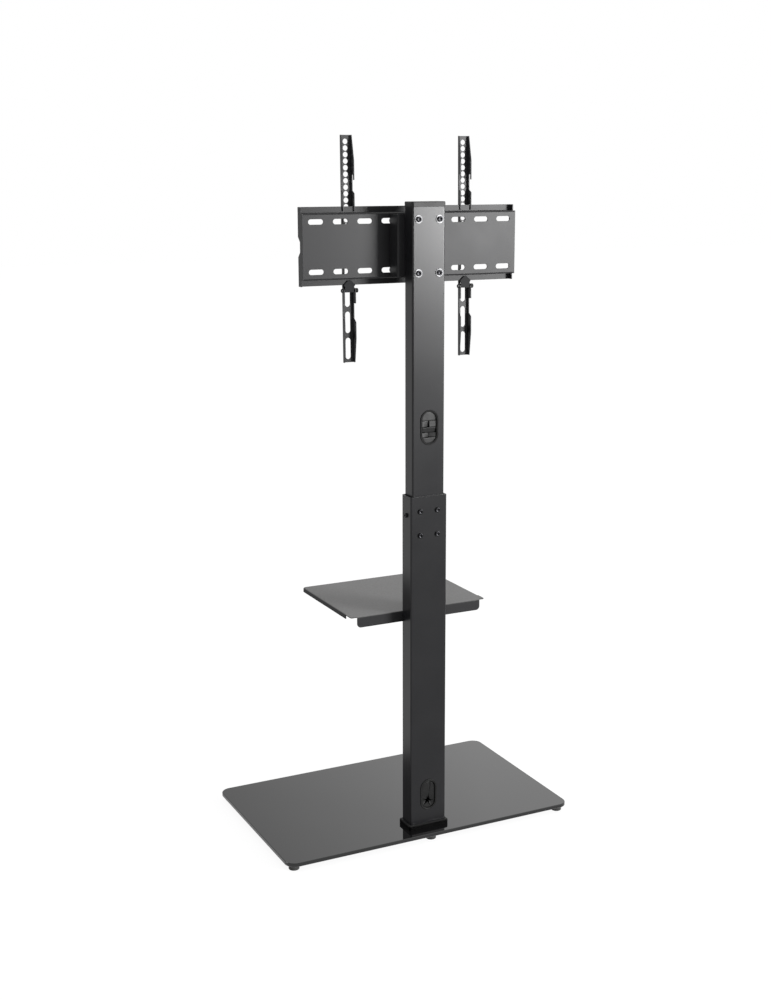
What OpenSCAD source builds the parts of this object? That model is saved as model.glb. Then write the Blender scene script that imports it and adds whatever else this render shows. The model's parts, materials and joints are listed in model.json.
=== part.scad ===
// Floor stand for a television: a glass base on rubber feet, a telescopic steel
// column with a shelf, and a slotted plate that carries two hook-on arms.
// Millimetres, Z up. The origin is on the floor, at the centre of the base.
// The screen side faces -Y, and the column stands near the rear edge, at +Y.

/* [Base] */
// Width of the glass base
base_w = 650; // [560:10:800]
// Depth of the glass base
base_d = 400; // [360:10:500]
// Thickness of the glass
glass_t = 8; // [6:1:12]
// Corner radius of the glass
glass_r = 22; // [10:1:40]
// Polished bevel along the edges of the glass
glass_bevel = 1; // [0.5:0.1:1.5]
// Height of the rubber feet
foot_h = 12; // [11:1:18]
// Radius of the rubber feet
foot_r = 12; // [9:0.5:13]
// Distance from a foot's centre to the side of the glass
foot_inset_x = 19; // [17:1:40]
// Distance from a foot's centre to the front or rear edge of the glass
foot_inset_y = 20; // [17:1:21]

/* [Column foot] */
// Distance from the column's centre to the rear edge of the glass
column_inset = 52; // [52:1:80]
// Width of the backing plate under the glass
backing_w = 120; // [100:5:160]
// Depth of the backing plate under the glass
backing_d = 36; // [34:1:37]
// Thickness of the backing plate
backing_t = 3; // [2:0.5:4]
// Distance between the base bolts across the column
base_bolt_dx = 56; // [44:1:60]
// Distance between the base bolts along the column's depth
base_bolt_dy = 22; // [18:1:23]
// Shank radius of the base bolts
base_bolt_r = 4; // [3:0.5:4]
// Length of the base bolts under the head
base_bolt_len = 22; // [21:1:26]
// Thickness of the seal between the glass and the column's foot
seal_t = 1; // [0.5:0.5:2]
// Thickness of the column's welded foot
foot_plate_t = 5; // [4:0.5:6]
// How far the welded foot stands out beyond the tube on each side
foot_plate_rim = 3; // [2:0.5:3]
// How far the collar stands out beyond the tube on each side
collar_rim = 5; // [5:0.5:7]
// Height of the collar
collar_h = 10; // [9:0.5:16]
// Bevel along the top of the collar
collar_bevel = 1.5; // [0.5:0.1:2]

/* [Lower column] */
// Width of the lower tube
low_w = 80; // [78:1:90]
// Depth of the lower tube
low_d = 39; // [39:1:46]
// Wall of the lower tube
low_wall = 2; // [1.5:0.1:2]
// Length of the lower tube
low_len = 696; // [660:2:800]
// Outer corner radius of both tubes
tube_r = 3; // [2.8:0.1:4]
// Height of the nylon guides at the top of the lower tube
guide_h = 60; // [40:1:70]
// Depth at which the guides sit below the top of the lower tube
guide_drop = 4; // [2:0.5:8]

/* [Upper column] */
// Width of the upper tube
up_w = 70; // [66:1:71]
// Depth of the upper tube
up_d = 33; // [31:0.5:33]
// Wall of the upper tube
up_wall = 2; // [1.5:0.1:2]
// Length of the upper tube
up_len = 790; // [740:2:900]
// Length of the upper tube inside the lower one, at the lowest height
insert_len = 232; // [230:1:240]
// Height of the band of the end cap
cap_h = 9.5; // [6:0.5:14]
// How far the end cap stands out beyond the tube
cap_rim = 1; // [0.5:0.1:2]
// Length of the plastic spigots that reach inside the tube
spigot_len = 12; // [8:1:16]

/* [Height clamp] */
// Distance between the clamp screws across the column
clamp_dx = 38; // [30:1:40]
// Distance between the two rows of clamp screws
clamp_dz = 48.5; // [40:0.5:50]
// Distance of the upper row of clamp screws below the top of the lower tube
clamp_drop = 30; // [24:1:34]
// How far the upper tube can be raised
column_travel = 97; // [60:1:100]
// Thickness of the threaded clamp plate inside the upper tube
clamp_t = 4; // [3:0.5:5]
// Radius of the M6 screws
m6_r = 3; // [2.5:0.5:3]
// Head radius of the M6 screws
m6_head_r = 5.2; // [4.6:0.1:5.5]
// Head height of the M6 screws
m6_head_h = 3.3; // [2.5:0.1:4]
// Distance of the side screw below the top of the lower tube
side_screw_drop = 39; // [34:1:50]

/* [Cable outlets] */
// Width of the lower outlet's rim
low_outlet_w = 37.5; // [34:0.5:44]
// Height of the lower outlet's rim
low_outlet_h = 67; // [60:1:80]
// Height of the lower outlet's centre above the floor
low_outlet_z = 91.5; // [80:0.5:110]
// Width of the upper outlet's rim
up_outlet_w = 39.5; // [34:0.5:44]
// Height of the upper outlet's rim
up_outlet_h = 69.5; // [60:0.5:80]
// Distance of the upper outlet's centre below the top of the upper tube
up_outlet_drop = 422; // [400:1:440]
// Width of the ring face of both rims
outlet_ring = 4.6; // [4:0.1:6]
// How far both rims stand proud of the tube
outlet_proud = 1.6; // [1:0.1:2.5]

/* [Shelf] */
// Width of the shelf
shelf_w = 305; // [240:5:360]
// Depth of the shelf
shelf_d = 250; // [200:5:270]
// Distance of the shelf's top below the lower end of the upper tube
shelf_drop = 9; // [7:1:40]
// Sheet thickness of the shelf
shelf_t = 1.6; // [1.2:0.1:2]
// Outer bend radius of the shelf's edges
shelf_bend = 2.6; // [2.4:0.1:4]
// Height of the lips along the front and the sides
lip_h = 9; // [7:0.5:16]
// Front corner radius of the shelf, seen from above
shelf_r = 8; // [5:0.5:14]
// Distance from the rear edge at which the side lips end
lip_end = 28; // [20:1:50]
// Height of the rear flange that is screwed to the column
shelf_flange_h = 22; // [20:1:30]
// Distance of the rear flange's ends from the shelf's sides
shelf_flange_in = 13; // [10:1:20]
// Distance between the shelf's two screws
shelf_screw_dx = 40; // [30:1:44]

/* [Mounting plate] */
// Length of the slotted plate
plate_w = 462; // [440:2:520]
// Height of the slotted plate over its two rails
plate_h = 148; // [144:1:160]
// Sheet thickness of the plate
plate_t = 2; // [1.5:0.1:2.5]
// Depth of the plate from the rails to its rear face
plate_depth = 21; // [18:0.5:26]
// Height of the rails that stand up and down from the plate
rail_h = 12; // [11:0.5:14]
// Distance of the plate's centre below the top of the upper tube
plate_drop = 73.5; // [73:0.5:80]
// Distance between neighbouring slots
slot_pitch = 50.8; // [48:0.2:54]
// Number of slots in a row, an odd number
slot_count = 9; // [5:2:9]
// Length of a slot
slot_len = 31; // [24:1:34]
// Width of a slot
slot_w = 10; // [8:0.5:12]
// Distance between the two rows of slots
slot_dz = 93.2; // [86:0.2:96]

/* [Bracket] */
// Width of the channel between the column and the plate
bracket_w = 100; // [94:1:104]
// Height of the channel
bracket_h = 118; // [114:1:120]
// Depth of the channel
bracket_d = 36; // [30:1:50]
// Sheet thickness of the channel
bracket_t = 2.5; // [2:0.1:3]
// Width of the channel's flanges on the plate
bracket_flange = 24; // [22:1:26]
// Distance between the column bolts across the column
bolt_dx = 45; // [38:1:46]
// Distance between the two rows of column bolts
bolt_dz = 100.6; // [92:0.2:102]
// Outer radius of the washers under the column bolts
washer_r = 7.8; // [7:0.1:9]
// Thickness of those washers
washer_t = 1.2; // [0.8:0.1:1.6]

/* [Arms] */
// Distance between the centres of the two arms
arm_spacing = 254.6; // [200:0.2:380]
// Length of an arm
arm_len = 430; // [424:1:460]
// Width of an arm over its web
arm_w = 23; // [21:0.5:26]
// Full depth of an arm
arm_d = 14; // [13.5:0.1:15]
// Sheet thickness of an arm
arm_t = 1.8; // [1.5:0.1:2]
// Outer bend radius of an arm
arm_bend = 3; // [2.5:0.1:4]
// Outward splay of an arm's flanges, in degrees
arm_splay = 5.5; // [0:0.5:7]
// Depth of the flanges at the top end of an arm
arm_top_d = 6; // [5:0.5:10]
// Depth of the flanges at the bottom end of an arm
arm_bottom_d = 8.5; // [6:0.5:10]
// Distance of the closed end of the hook in use below the arm's top
hook_drop = 132; // [130:0.5:136]
// Distance between the two hooks, and between the two lower notches
hook_pitch = 58.3; // [56:0.1:62]
// Radius of the round holes
hole_r = 5.15; // [4.6:0.05:5.4]
// Distance between neighbouring round holes
hole_pitch = 12.1; // [11.6:0.1:12.4]
// Number of round holes
hole_count = 18; // [12:1:18]
// Length of the long slots in the web
arm_slot_len = 41.5; // [34:0.5:43]
// Width of the long slots in the web
arm_slot_w = 11; // [9:0.2:12]
// Distance between neighbouring long slots
arm_slot_pitch = 50.6; // [49:0.1:51]
// Number of long slots
arm_slot_count = 4; // [2:1:4]

/* [Latches] */
// Height of the latch above its pivot
latch_h = 20.2; // [18:0.1:20.5]
// Sheet thickness of the latch
latch_t = 1.5; // [1:0.1:1.6]
// Radius of the lock screw's shank
lock_r = 2; // [1.8:0.1:2.1]
// Radius of the lock screw's knurled head
knob_r = 4.4; // [4:0.1:5]
// Length of the lock screw's knurled head
knob_len = 6; // [4:0.5:8]
// Number of flutes around the head
knob_flutes = 14; // [10:1:16]

/* [Hidden] */
$fn = 48;

// Overrun of every cut, and overlap of shapes that are joined into one solid
over = 1;
// Gap beside a plastic piece that slides or is pushed in
slide_gap = 0.3;
// Gap between steel pieces that hang on or rest against each other
seat_gap = 0.3;
// Radial gap round a pin that turns
pin_gap = 0.05;
// Radial gap round a fixed screw in its thread
thread_gap = 0.1;
// Radial gap round a screw in a plain hole
hole_gap = 0.4;

// Heights of the base
glass_z = foot_h;
glass_top = glass_z + glass_t;
col_y = base_d / 2 - column_inset;
low_z = glass_top + seal_t + foot_plate_t;
low_top = low_z + low_len;
low_rear = col_y + low_d / 2;
low_front = col_y - low_d / 2;

// Heights of the upper column
up_z = low_top - insert_len;
up_top = up_z + up_len;
up_rear = col_y + up_d / 2;
up_front = col_y - up_d / 2;

// Sizes of the small fixed pieces
bolt_head_h = 5.3;
bolt_head_share = 1.87;
backing_r = 6;
seal_r = 4;
collar_wall = 1.6;
foot_rib = 2;
foot_taper = 1.2;
guide_wrap = 9;
plug_flange_h = 6;
plug_wall = 3;
cap_bevel = 1.2;
key_share = 0.55;
key_depth_share = 0.6;

// The clamp screws, seen from the rear
clamp_high = low_top - clamp_drop;
clamp_low = clamp_high - clamp_dz;
clamp_edge = 11;
clamp_slot_w = 7;
clamp_slot_end = 2;
// How far the height screws reach past their plate
screw_tip = 4.5;
side_screw_r = 2.5;
side_screw_head_r = 4.5;
side_screw_head_h = 3.6;

// The cable outlets
outlet_neck_wall = 1.3;
outlet_neck_len = 4.6;
outlet_flap_t = 0.8;
outlet_flap_in = 1.6;
outlet_slit = 0.9;
up_outlet_z = up_top - up_outlet_drop;
up_outlet_x = -2;
low_outlet_x = -1;
// The dark gap across the upper outlet, and the torn star in the lower one
up_gap_h = 11;
up_gap_drop = 3;
star_r = 6.5;
star_core_r = 4;
star_drop = 12;
star_points = 5;

// The shelf
shelf_z = up_z - shelf_drop;
shelf_rear_r = 8;
shelf_screw_z = shelf_z - shelf_flange_h / 2;
rivet_nut_r = 4.4;
rivet_nut_len = 13;
rivet_bulge_r = 5.8;
rivet_bulge_h = 3;

// The mounting plate and its bracket
plate_z = up_top - plate_drop;
bracket_y = up_front - bracket_d;
plate_y = bracket_y - plate_depth;
rail_y = plate_y + plate_t / 2;
rail_top = plate_z + plate_h / 2;
bend_in = 1;
plate_bend = plate_t + bend_in;
bracket_bend = bracket_t + bend_in;
panel_h = plate_h - 2 * rail_h;
ear_d = 12.8;
end_notch_h = 37.7;
end_notch_floor_h = 19.5;
end_notch_d = 9;
slot_end_gap = 1;
plate_screw_x = slot_pitch - slot_len / 2 + slot_w / 2 + slot_end_gap;
wide_head_share = 1.3;
nut_share = 1.92;
m6_nut_h = 5;
// How far a bolt's end shows past its nut
bolt_end = 1;

// The arms, in a frame whose zero is the rail's mid plane at its top edge
hook_neck = 9.7;
hook_floor = 29.5;
hook_ramp = 5.2;
tongue_t = 2.3;
notch_base = -3.4;
tongue_in = plate_t / 2 + seat_gap;
arm_rear = tongue_in + tongue_t;
arm_front = arm_rear - arm_d;
top_taper = 48.4;
bottom_taper = 47.2;
notch_drop = 125.5;
notch_len = 27.2;
notch_ramp = 4.5;
far_notch_len = 29.7;
far_notch_ramp = 6.7;
first_hole = 12;
last_slot = 26.8;
arm_top = rail_top + seat_gap + hook_drop;
// The arms lean until the lower notch comes up to the lower rail
arm_lean = atan((-notch_base - plate_t / 2 - seat_gap) / plate_h);

// The latches, in the same frame
pivot_y = -1.7;
pivot_below = 6.5;
pivot_drop = hook_drop + notch_drop + notch_len + pivot_below;
cheek_front = 2.8;
cheek_h = 5;
latch_base = 3.2;
latch_tip = 2.2;
latch_shoulder = 12;
latch_shoulder_z = 11;
latch_y = lock_r + pin_gap + thread_gap;
lock_nut_h = 3.2;
lock_flute_r = 0.55;
// Inner and outer half widths of the arm's channel, where the latch turns in it
channel_half = arm_w / 2 - arm_bend + (arm_bend - arm_t) / cos(arm_splay)
    + (pivot_y - cheek_front - arm_front - arm_bend) * tan(arm_splay);
flange_half = arm_w / 2 - arm_bend + arm_bend / cos(arm_splay)
    + (pivot_y + knob_r - arm_front - arm_bend) * tan(arm_splay);

steel_black = [0.13, 0.13, 0.14];
steel_dark = [0.18, 0.18, 0.19];
steel_bright = [0.62, 0.62, 0.64];
rubber_black = [0.06, 0.06, 0.06];
plastic_black = [0.1, 0.1, 0.1];
glass_black = [0.08, 0.08, 0.09];

// Flat outline with four round corners
module rounded_rect(w, d, r) {
    square([w - 2 * r, d], center = true);
    square([w, d - 2 * r], center = true);
    for (x = [-1, 1], y = [-1, 1])
        translate([x * (w / 2 - r), y * (d / 2 - r)]) circle(r);
}

// Flat outline with two round ends, along X
module slot_outline(length, width) {
    square([length - width, width], center = true);
    for (x = [-1, 1])
        translate([x * (length - width) / 2, 0]) circle(width / 2);
}

// An outline in X and Z, made solid from y0 to y1
module along_y(y0, y1) {
    translate([0, y1, 0]) rotate([90, 0, 0]) linear_extrude(y1 - y0) children();
}

// An outline in Y and Z, made solid from x0 to x1
module along_x(x0, x1) {
    translate([x0, 0, 0]) rotate([90, 0, 90]) linear_extrude(x1 - x0) children();
}

// A round bar along Y
module y_bar(r, y0, y1) {
    translate([0, y1, 0]) rotate([90, 0, 0]) cylinder(r = r, h = y1 - y0);
}

// A round bar along X
module x_bar(r, x0, x1) {
    translate([x0, 0, 0]) rotate([0, 90, 0]) cylinder(r = r, h = x1 - x0);
}

// A straight rectangular tube, standing on z = 0
module box_tube(w, d, wall, r, h) {
    linear_extrude(h) difference() {
        rounded_rect(w, d, r);
        rounded_rect(w - 2 * wall, d - 2 * wall, r - wall);
    }
}

// A flat plate with round corners and a bevelled top edge
module bevelled_top(w, d, r, h, bevel) {
    linear_extrude(h - bevel) rounded_rect(w, d, r);
    translate([0, 0, h - bevel]) {
        for (x = [-1, 1], y = [-1, 1])
            translate([x * (w / 2 - r), y * (d / 2 - r), 0])
                cylinder(r1 = r, r2 = r - bevel, h = bevel);
        along_y(r - d / 2, d / 2 - r)
            polygon([[-w / 2, 0], [w / 2, 0], [w / 2 - bevel, bevel], [bevel - w / 2, bevel]]);
        along_x(r - w / 2, w / 2 - r)
            polygon([[-d / 2, 0], [d / 2, 0], [d / 2 - bevel, bevel], [bevel - d / 2, bevel]]);
    }
}

// A screw along Z: its head stands above z = 0, with a six-sided key hole
module screw(r, len, head_r, head_h) {
    translate([0, 0, -len]) cylinder(r = r, h = len);
    difference() {
        cylinder(r = head_r, h = head_h);
        translate([0, 0, head_h * (1 - key_depth_share)])
            cylinder(r = head_r * key_share, h = head_h, $fn = 6);
    }
}

// A six-sided nut along Z, standing on z = 0
module hex_nut(r, across, h) {
    difference() {
        rotate(30) cylinder(r = across, h = h, $fn = 6);
        translate([0, 0, -over]) cylinder(r = r, h = h + 2 * over);
    }
}

// Copies at the four corners of an upright rectangle centred on x = 0
module four(dx, dz) {
    for (x = [-1, 1], z = [-1, 1])
        translate([x * dx / 2, 0, z * dz / 2]) children();
}

// Copies at the four base bolts
module at_base_bolts() {
    for (x = [-1, 1], y = [-1, 1])
        translate([x * base_bolt_dx / 2, col_y + y * base_bolt_dy / 2, 0]) children();
}

module glass_base() {
    color(glass_black) difference() {
        translate([0, 0, glass_z + glass_t / 2]) {
            bevelled_top(base_w, base_d, glass_r, glass_t / 2, glass_bevel);
            mirror([0, 0, 1]) bevelled_top(base_w, base_d, glass_r, glass_t / 2, glass_bevel);
        }
        at_base_bolts() translate([0, 0, glass_z - over])
            cylinder(r = base_bolt_r + hole_gap, h = glass_t + 2 * over);
    }
}

// Six turned rubber pads: one at each corner, and one halfway along front and rear
module base_feet() {
    foot_x = base_w / 2 - foot_inset_x;
    foot_y = base_d / 2 - foot_inset_y;
    color(rubber_black)
        for (x = [-foot_x, 0, foot_x], y = [-foot_y, foot_y])
            translate([x, y, 0]) rotate_extrude()
                polygon([[0, 0], [foot_r - 2 * foot_taper, 0], [foot_r - foot_taper, foot_taper],
                    [foot_r - foot_taper, foot_h - foot_rib], [foot_r, foot_h - foot_rib],
                    [foot_r, foot_h], [0, foot_h]]);
}

module backing_plate() {
    color(steel_dark) translate([0, 0, glass_z - backing_t]) difference() {
        translate([0, col_y, 0]) linear_extrude(backing_t)
            rounded_rect(backing_w, backing_d, backing_r);
        at_base_bolts() translate([0, 0, -over])
            cylinder(r = base_bolt_r + hole_gap, h = backing_t + 2 * over);
    }
}

module base_seal() {
    color(rubber_black) translate([0, 0, glass_top]) difference() {
        translate([0, col_y, 0]) linear_extrude(seal_t)
            rounded_rect(low_w + 2 * foot_plate_rim, low_d + 2 * foot_plate_rim, seal_r);
        at_base_bolts() translate([0, 0, -over])
            cylinder(r = base_bolt_r + hole_gap, h = seal_t + 2 * over);
    }
}

// Hexagon bolts that come up through the glass into the column's foot
module base_bolts() {
    color(steel_bright) at_base_bolts() translate([0, 0, glass_z - backing_t]) {
        cylinder(r = base_bolt_r, h = base_bolt_len);
        mirror([0, 0, 1]) cylinder(r = base_bolt_r * bolt_head_share, h = bolt_head_h, $fn = 6);
    }
}

module column_foot() {
    color(steel_black) translate([0, 0, glass_top + seal_t]) difference() {
        translate([0, col_y, 0]) linear_extrude(foot_plate_t)
            rounded_rect(low_w + 2 * foot_plate_rim, low_d + 2 * foot_plate_rim, seal_r);
        at_base_bolts() translate([0, 0, -over])
            cylinder(r = base_bolt_r + thread_gap, h = foot_plate_t + 2 * over);
    }
}

// Moulded cover that drops down the tube and hides the welded foot
module base_collar() {
    out_w = low_w + 2 * collar_rim;
    out_d = low_d + 2 * collar_rim;
    hollow_h = seal_t + foot_plate_t + slide_gap;
    color(plastic_black) translate([0, col_y, glass_top]) difference() {
        bevelled_top(out_w, out_d, seal_r, collar_h, collar_bevel);
        translate([0, 0, -over]) {
            linear_extrude(hollow_h + over)
                rounded_rect(out_w - 2 * collar_wall, out_d - 2 * collar_wall, seal_r - collar_wall);
            linear_extrude(collar_h + 2 * over)
                rounded_rect(low_w + 2 * slide_gap, low_d + 2 * slide_gap, tube_r + slide_gap);
        }
    }
}

module lower_column() {
    color(steel_black) difference() {
        translate([0, col_y, low_z]) box_tube(low_w, low_d, low_wall, tube_r, low_len);
        // Cable outlet in the rear wall
        translate([low_outlet_x, 0, low_outlet_z]) along_y(low_rear - low_wall - over, low_rear + over)
            outlet_hole(low_outlet_w, low_outlet_h);
        // Clamp screws in the rear wall
        translate([0, 0, clamp_high - clamp_dz / 2]) four(clamp_dx, clamp_dz)
            y_bar(m6_r + hole_gap, low_rear - low_wall - over, low_rear + over);
        // Side screw
        translate([0, col_y, low_top - side_screw_drop])
            x_bar(side_screw_r + hole_gap, low_w / 2 - low_wall - over, low_w / 2 + over);
        // Rivet nuts for the shelf in the front wall
        for (x = [-1, 1])
            translate([x * shelf_screw_dx / 2, 0, shelf_screw_z])
                y_bar(rivet_nut_r + thread_gap, low_front - over, low_front + low_wall + over);
    }
}

// Two nylon strips that keep the upper tube centred in the lower one
module column_guides() {
    in_w = low_w - 2 * low_wall;
    in_d = low_d - 2 * low_wall;
    color(plastic_black) translate([0, col_y, low_top - guide_drop - guide_h]) difference() {
        linear_extrude(guide_h) difference() {
            rounded_rect(in_w - 2 * thread_gap, in_d - 2 * thread_gap, tube_r - low_wall);
            square([up_w + 2 * slide_gap, up_d + 2 * slide_gap], center = true);
            square([up_w - 2 * guide_wrap, in_d + over], center = true);
        }
        translate([0, 0, guide_h + guide_drop - side_screw_drop])
            x_bar(side_screw_r + hole_gap, up_w / 2 - over, low_w / 2);
    }
}

// Screws that clamp the upper tube's rear wall against the lower tube
module height_screws() {
    grip = (low_d - up_d) / 2 + up_wall + slide_gap + clamp_t + screw_tip;
    color(steel_dark) translate([0, low_rear, clamp_high - clamp_dz / 2])
        four(clamp_dx, clamp_dz) rotate([-90, 0, 0]) screw(m6_r, grip, m6_head_r, m6_head_h);
}

module clamp_plate() {
    plate_rear = up_rear - up_wall - slide_gap;
    color(steel_dark) translate([0, 0, clamp_high - clamp_dz / 2]) difference() {
        along_y(plate_rear - clamp_t, plate_rear)
            square([clamp_dx + 2 * clamp_edge, clamp_dz + 2 * clamp_edge], center = true);
        four(clamp_dx, clamp_dz)
            y_bar(m6_r + thread_gap, plate_rear - clamp_t - over, plate_rear + over);
    }
}

module side_screw() {
    reach = (low_w - up_w) / 2 - 2 * slide_gap;
    color(steel_dark) translate([low_w / 2, col_y, low_top - side_screw_drop])
        rotate([0, 90, 0]) screw(side_screw_r, reach, side_screw_head_r, side_screw_head_h);
}

// The hole that a cable outlet snaps into
module outlet_hole(w, h) {
    rotate(90) slot_outline(h - outlet_ring, w - outlet_ring);
}

// Oval ring with a neck through the tube's wall and a thin flap sheet across it
module cable_outlet(w, h) {
    neck_w = w - outlet_ring - 2 * slide_gap;
    neck_h = h - outlet_ring - 2 * slide_gap;
    open_w = neck_w - 2 * outlet_neck_wall;
    open_h = neck_h - 2 * outlet_neck_wall;
    difference() {
        union() {
            along_y(0, outlet_proud) rotate(90) slot_outline(h, w);
            along_y(-outlet_neck_len, outlet_proud) rotate(90) slot_outline(neck_h, neck_w);
        }
        along_y(-outlet_flap_in, outlet_proud + over) rotate(90) slot_outline(open_h, open_w);
        along_y(-outlet_neck_len - over, -outlet_flap_in - outlet_flap_t)
            rotate(90) slot_outline(open_h, open_w);
        // Openings in the flap sheet
        along_y(-outlet_flap_in - outlet_flap_t - over, -outlet_flap_in + over) intersection() {
            rotate(90) slot_outline(open_h - 2 * outlet_slit, open_w - 2 * outlet_slit);
            children();
        }
    }
}

module lower_cable_outlet() {
    color(plastic_black) translate([low_outlet_x, low_rear, low_outlet_z])
        cable_outlet(low_outlet_w, low_outlet_h) {
            // A five-armed tear where the flaps meet
            translate([0, -star_drop]) {
                circle(r = star_core_r);
                for (i = [0 : star_points - 1])
                    rotate(90 + i * 360 / star_points)
                        polygon([[0, -outlet_slit], [star_r + 2 * outlet_slit, 0], [0, outlet_slit]]);
                square([outlet_slit, low_outlet_h], center = true);
            }
        }
}

module upper_cable_outlet() {
    color(plastic_black) translate([up_outlet_x, up_rear, up_outlet_z])
        cable_outlet(up_outlet_w, up_outlet_h) {
            // A gap across the middle, and a slit above and below it
            translate([0, -up_gap_drop]) square([up_outlet_w, up_gap_h], center = true);
            square([outlet_slit, up_outlet_h / 2], center = true);
        }
}

// Cross-section of a folded edge: flat to the left of x = 0, lip down to -h
module folded_edge(t, h, bend) {
    translate([-bend, -bend]) difference() {
        intersection() {
            circle(bend);
            square([bend + over, bend + over]);
        }
        circle(bend - t);
    }
    translate([-t, -h]) square([t, h - bend]);
    translate([-bend - t, -t]) square([t, t]);
}

// Folded sheet shelf: lips at the front and sides, a deeper flange at the rear
module shelf() {
    rear = low_front;
    front = rear - shelf_d;
    half = shelf_w / 2;
    flange_w = shelf_w - 2 * shelf_flange_in;
    color(steel_black) translate([0, 0, shelf_z]) difference() {
        union() {
            // The flat top
            translate([0, (front + rear) / 2, -shelf_t]) linear_extrude(shelf_t)
                rounded_rect(shelf_w - 2 * shelf_bend, shelf_d - 2 * shelf_bend, shelf_r - shelf_bend);
            // Side lips, ending short of the rear edge
            for (side = [0, 1]) mirror([side, 0, 0])
                translate([half, 0, 0]) along_y(front + shelf_r, rear - lip_end)
                    folded_edge(shelf_t, lip_h, shelf_bend);
            // Flat strips beside the rear flange, out to the shelf's full width
            translate([0, 0, -shelf_t]) linear_extrude(shelf_t) intersection() {
                translate([0, (front + rear) / 2]) rounded_rect(shelf_w, shelf_d, shelf_rear_r);
                translate([-half, rear - lip_end]) square([shelf_w, lip_end - shelf_bend]);
            }
            // Front lip and its two drawn corners
            translate([0, front, 0]) rotate(-90) along_y(shelf_r - half, half - shelf_r)
                folded_edge(shelf_t, lip_h, shelf_bend);
            for (side = [0, 1]) mirror([side, 0, 0])
                translate([half - shelf_r, front + shelf_r, 0]) rotate(-90)
                    rotate_extrude(angle = 90) translate([shelf_r, 0])
                        folded_edge(shelf_t, lip_h, shelf_bend);
            // Rear flange with rounded lower corners
            intersection() {
                translate([0, rear, 0]) rotate(90) along_y(-flange_w / 2, flange_w / 2)
                    folded_edge(shelf_t, shelf_flange_h, shelf_bend);
                along_y(rear - shelf_bend - shelf_t - over, rear + over)
                    translate([0, -shelf_flange_h / 2 + shelf_rear_r / 2])
                        rounded_rect(flange_w, shelf_flange_h + shelf_rear_r, shelf_rear_r);
            }
        }
        for (x = [-1, 1])
            translate([x * shelf_screw_dx / 2, 0, -shelf_flange_h / 2])
                y_bar(m6_r + hole_gap, rear - shelf_t - over, rear + over);
    }
}

module shelf_screws() {
    grip = shelf_t + rivet_nut_len - rivet_bulge_h;
    color(steel_dark) for (x = [-1, 1])
        translate([x * shelf_screw_dx / 2, low_front - shelf_t, shelf_screw_z])
            rotate([90, 0, 0]) screw(m6_r, grip, m6_head_r, m6_head_h);
}

// Threaded inserts, swaged behind the column's front wall
module shelf_rivet_nuts() {
    color(steel_bright) for (x = [-1, 1])
        translate([x * shelf_screw_dx / 2, low_front, shelf_screw_z]) difference() {
            union() {
                y_bar(rivet_nut_r, 0, rivet_nut_len);
                y_bar(rivet_bulge_r, low_wall, low_wall + rivet_bulge_h);
            }
            y_bar(m6_r + thread_gap, -over, rivet_nut_len + over);
        }
}

module upper_column() {
    color(steel_black) difference() {
        translate([0, col_y, up_z]) box_tube(up_w, up_d, up_wall, tube_r, up_len);
        // Two long slots, in which the clamp screws run
        for (x = [-1, 1])
            translate([x * clamp_dx / 2, 0, (clamp_high + clamp_low - column_travel) / 2])
                along_y(up_rear - up_wall - over, up_rear + over) rotate(90)
                    slot_outline(clamp_dz + column_travel + clamp_slot_w + 2 * clamp_slot_end,
                        clamp_slot_w);
        // Cable outlet in the rear wall
        translate([up_outlet_x, 0, up_outlet_z]) along_y(up_rear - up_wall - over, up_rear + over)
            outlet_hole(up_outlet_w, up_outlet_h);
        // Through holes for the bracket's bolts
        translate([0, 0, plate_z]) four(bolt_dx, bolt_dz)
            y_bar(m6_r + hole_gap, up_front - over, up_rear + over);
    }
}

// Plastic shoe on the upper tube's lower end, open in the middle for cables
module slider_plug() {
    shoe_w = low_w - 2 * low_wall - 2 * slide_gap;
    shoe_d = low_d - 2 * low_wall - 2 * slide_gap;
    in_w = up_w - 2 * up_wall - 2 * slide_gap;
    in_d = up_d - 2 * up_wall - 2 * slide_gap;
    color(plastic_black) translate([0, col_y, up_z]) difference() {
        union() {
            translate([0, 0, -plug_flange_h]) linear_extrude(plug_flange_h)
                rounded_rect(shoe_w, shoe_d, tube_r - low_wall);
            linear_extrude(spigot_len) rounded_rect(in_w, in_d, tube_r - up_wall);
        }
        translate([0, 0, -plug_flange_h - over])
            linear_extrude(plug_flange_h + spigot_len + 2 * over)
                rounded_rect(in_w - 2 * plug_wall, in_d - 2 * plug_wall, tube_r - up_wall);
    }
}

module end_cap() {
    in_w = up_w - 2 * up_wall - 2 * slide_gap;
    in_d = up_d - 2 * up_wall - 2 * slide_gap;
    color(plastic_black) translate([0, col_y, up_top]) {
        bevelled_top(up_w + 2 * cap_rim, up_d + 2 * cap_rim, tube_r + cap_rim, cap_h, cap_bevel);
        translate([0, 0, -spigot_len]) difference() {
            linear_extrude(spigot_len + over) rounded_rect(in_w, in_d, tube_r - up_wall);
            translate([0, 0, -over]) linear_extrude(spigot_len + over)
                rounded_rect(in_w - 2 * plug_wall, in_d - 2 * plug_wall, tube_r - up_wall);
        }
    }
}

// Cross-section of one half of the channel, in X and Y, with its two bends
module bracket_half() {
    half = bracket_w / 2;
    r = bracket_bend;
    translate([0, bracket_d - bracket_t]) square([half - r, bracket_t]);
    translate([half - bracket_t, r]) square([bracket_t, bracket_d - 2 * r]);
    translate([half - bracket_flange, 0]) square([bracket_flange - r, bracket_t]);
    for (end = [[r, 0], [bracket_d - r, 1]])
        translate([half - r, end[0]]) mirror([0, 1 - end[1]]) intersection() {
            difference() {
                circle(r);
                circle(r - bracket_t);
            }
            square([r, r]);
        }
}

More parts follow.
